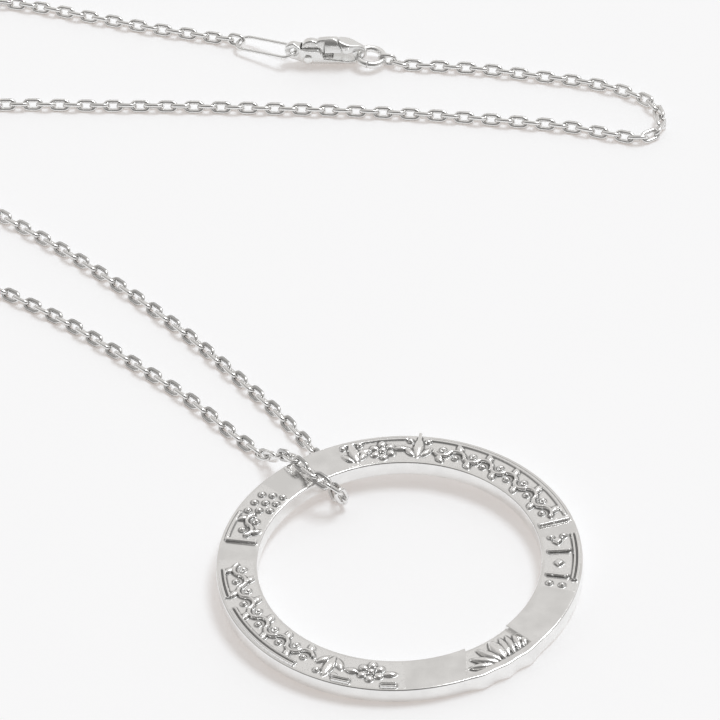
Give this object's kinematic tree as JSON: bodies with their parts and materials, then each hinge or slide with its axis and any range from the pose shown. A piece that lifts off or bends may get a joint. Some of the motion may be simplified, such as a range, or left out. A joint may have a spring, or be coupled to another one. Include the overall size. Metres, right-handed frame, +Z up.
{
  "type": "ring pendant necklace",
  "caption": "Flat cast open ring with vine, bud and lotus relief, threaded on a fine cable chain with a sprung lobster clasp.",
  "frame": {"origin": "middle of the whole lying necklace, on the surface that it lies on", "axes": "+Z up from the surface, +Y from the pendant towards the clasp, +X to the right of the pendant as the picture shows it"},
  "size_m": [0.1231, 0.136, 0.005],
  "materials": {
    "cast_ring": "polished silver with fine grain on the floor round its relief",
    "chain": "polished silver wire",
    "clasp_metal": "polished silver"
  },
  "bodies": {
    "necklace": {"pendant_ring": "cast_ring", "chain_inner": "chain", "chain_outer": "chain", "ring_link": "chain", "jump_ring": "clasp_metal", "clasp_body": "clasp_metal", "long_link": "chain", "end_link": "chain"},
    "lever": {"clasp_lever": "clasp_metal"}
  },
  "joints": [
    {"name": "lever_hinge", "type": "hinge", "parent": "necklace", "child": "lever", "pos_m": [0.0188, 0.04835, 0.00135], "axis": [0.1167, 0.9932, 0], "range_deg": [0, 12], "stiffness_Nm_per_rad": 0.002, "springref_deg": -34.38}
  ]
}
